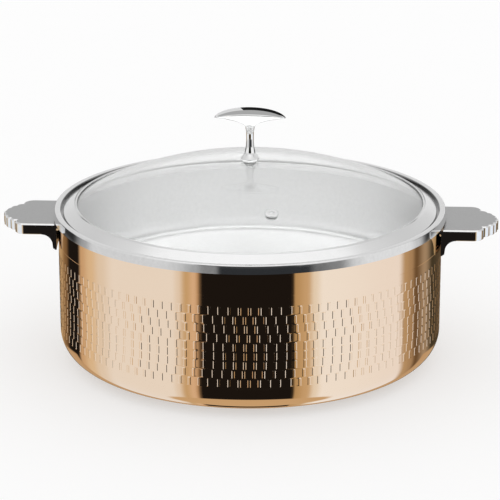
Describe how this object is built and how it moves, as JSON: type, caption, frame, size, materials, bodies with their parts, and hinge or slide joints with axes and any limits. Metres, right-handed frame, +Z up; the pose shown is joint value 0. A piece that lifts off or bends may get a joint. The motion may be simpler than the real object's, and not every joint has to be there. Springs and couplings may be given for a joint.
{
  "type": "chafing dish",
  "caption": "Round chafing dish: hammered rose-gold water pan with side handles, lift-out food pan and domed glass lid with a T-shaped knob.",
  "frame": {"origin": "middle of the base, on the surface the dish stands on", "axes": "+Z up along the axis of the pan, handles on +X and -X, the vent is towards -Y"},
  "size_m": [0.4636, 0.3658, 0.2386],
  "materials": {
    "rose_gold_steel": "mirror-polished rose-gold plating on hammered stainless steel",
    "aluminium": "plain",
    "brushed_steel": "brushed in circles",
    "satin_casting": "satin top, polished edge",
    "polished_steel": "mirror-polished",
    "plain_steel": "plain",
    "screw_steel": "plain",
    "pan_steel": "polished inside and on the rim",
    "silicone": "matt translucent silicone",
    "clear_glass": "clear tempered",
    "knob_chrome": "mirror chrome"
  },
  "bodies": {
    "water_pan": {"body_shell": "rose_gold_steel", "base_disc": "aluminium", "base_cap": "brushed_steel", "handle_left": "satin_casting", "handle_right": "satin_casting", "handle_plate_left": "polished_steel", "handle_plate_right": "polished_steel", "handle_backing_left": "plain_steel", "handle_backing_right": "plain_steel", "handle_screws_left": "screw_steel", "handle_screws_right": "screw_steel"},
    "food_pan": {"food_pan": "pan_steel"},
    "lid": {"lid_ring": "polished_steel", "lid_seal": "silicone", "lid_glass": "clear_glass", "knob": "knob_chrome", "knob_collar": "knob_chrome", "knob_upper_washer": "silicone", "knob_lower_washer": "silicone", "knob_cup_washer": "plain_steel", "knob_screw": "screw_steel", "vent_eyelet": "polished_steel", "vent_washer": "plain_steel"}
  },
  "joints": [
    {"name": "food_pan_lift", "type": "slide", "parent": "water_pan", "child": "food_pan", "axis": [0, 0, 1], "range_m": [0, 0.12]},
    {"name": "lid_lift", "type": "slide", "parent": "food_pan", "child": "lid", "axis": [0, 0, 1], "range_m": [0, 0.15]}
  ]
}
